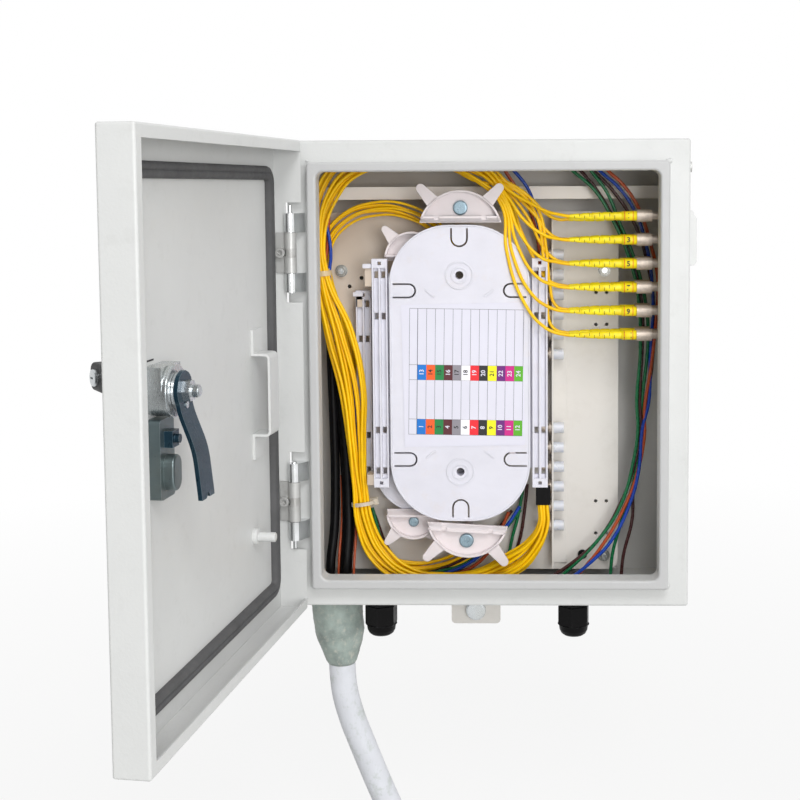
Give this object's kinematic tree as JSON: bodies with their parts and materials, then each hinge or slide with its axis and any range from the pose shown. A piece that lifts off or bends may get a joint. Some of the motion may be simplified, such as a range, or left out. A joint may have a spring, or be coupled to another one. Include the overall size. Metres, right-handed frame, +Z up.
{
  "type": "outdoor electrical box",
  "caption": "Wall or pole mounted sheet-steel outdoor box with a gasketed hinged door, swing-handle cam lock, splice trays, plugs and cable glands.",
  "frame": {"origin": "centre of the two wall bolts, on the back face of the mounting strap", "axes": "+X to the right as seen from the front, +Y from the front into the wall, +Z up"},
  "size_m": [0.4546, 0.4956, 0.6516],
  "materials": {
    "case_paint": "light grey textured powder coat",
    "plate_paint": "smooth pale grey paint",
    "zinc": "bright zinc plate",
    "blue_zinc": "blue zinc plate, worn",
    "nickel": "matt nickel",
    "hinge_metal": "painted zinc casting",
    "gasket_foam": "soft foam",
    "tray_plastic": "white moulded plastic",
    "guide_plastic": "off-white moulded plastic",
    "cap_plastic": "translucent white plastic",
    "clip_plastic": "beige plastic",
    "card": "printed card",
    "boot_yellow": "yellow rubbery plastic",
    "fibre_yellow": "yellow cable jacket",
    "fibre_tubes": "coloured loose tubes",
    "black_plastic": "black plastic",
    "tie_plastic": "natural nylon",
    "seal_foam": "rough expanding foam",
    "conduit_tape": "white tape wrapping",
    "coupler_plastic": "light grey plastic"
  },
  "bodies": {
    "enclosure": {"case_shell": "case_paint", "side_vent": "case_paint", "side_plug": "case_paint", "mounting_plate": "plate_paint", "plate_posts": "zinc", "plate_nuts": "zinc", "cross_rail": "plate_paint", "adapter_panel": "plate_paint", "capped_adapters": "nickel", "dust_caps": "cap_plastic", "plug_panel": "plate_paint", "plug_adapters": "nickel", "plug_nuts": "nickel", "plug_boots": "boot_yellow", "splice_tray_front": "tray_plastic", "splice_tray_rear": "tray_plastic", "tray_posts": "guide_plastic", "tray_clips": "clip_plastic", "label_card": "card", "guides_front": "guide_plastic", "guides_rear": "guide_plastic", "guide_screws": "zinc", "gland_bodies": "black_plastic", "gland_caps": "black_plastic", "gland_locknuts": "black_plastic", "cable_seal": "seal_foam", "conduit": "conduit_tape", "conduit_coupler": "coupler_plastic", "mounting_strap": "plate_paint", "strap_bolts": "zinc", "wall_bolts": "zinc", "hinge_knuckles": "zinc", "hinge_pins": "zinc", "fibre_bundle": "fibre_yellow", "fibre_inner_loop": "fibre_yellow", "pigtails": "fibre_yellow", "fibre_sleeve": "black_plastic", "tubes_right": "fibre_tubes", "tubes_middle": "fibre_tubes", "tubes_floor": "fibre_tubes", "trunk_cables": "black_plastic", "cable_ties": "tie_plastic"},
    "door": {"door_panel": "case_paint", "door_gasket": "gasket_foam", "hinge_leaves": "hinge_metal", "hinge_screws": "zinc", "hat_bracket": "case_paint", "earth_stud": "case_paint", "lock_plate": "black_plastic", "lock_housing": "zinc", "lock_clamp": "zinc", "lock_tongue": "zinc", "clamp_nut": "blue_zinc"},
    "cam": {"lock_spindle": "zinc", "handle_pin": "zinc", "cam_disc": "zinc", "cam_lever": "blue_zinc", "cam_fasteners": "zinc"},
    "handle": {"handle": "black_plastic"},
    "button": {"lock_button": "zinc"}
  },
  "joints": [
    {"name": "door_hinge", "type": "hinge", "parent": "enclosure", "child": "door", "pos_m": [-0.15, -0.1367, 0], "axis": [0, 0, 1], "range_deg": [-22.6, 97.4]},
    {"name": "lock_turn", "type": "hinge", "parent": "door", "child": "cam", "pos_m": [-0.19978, -0.39423, 0.0915], "axis": [-0.9917, 0.1288, 0], "range_deg": [0, 90]},
    {"name": "handle_swing", "type": "hinge", "parent": "cam", "child": "handle", "pos_m": [-0.21218, -0.39262, 0.0915], "axis": [0, 0, 1], "range_deg": [-41, 0]},
    {"name": "button_press", "type": "slide", "parent": "handle", "child": "button", "axis": [0.8329, 0.5534, 0], "range_m": [0, 0.0025], "stiffness_N_per_m": 600}
  ]
}
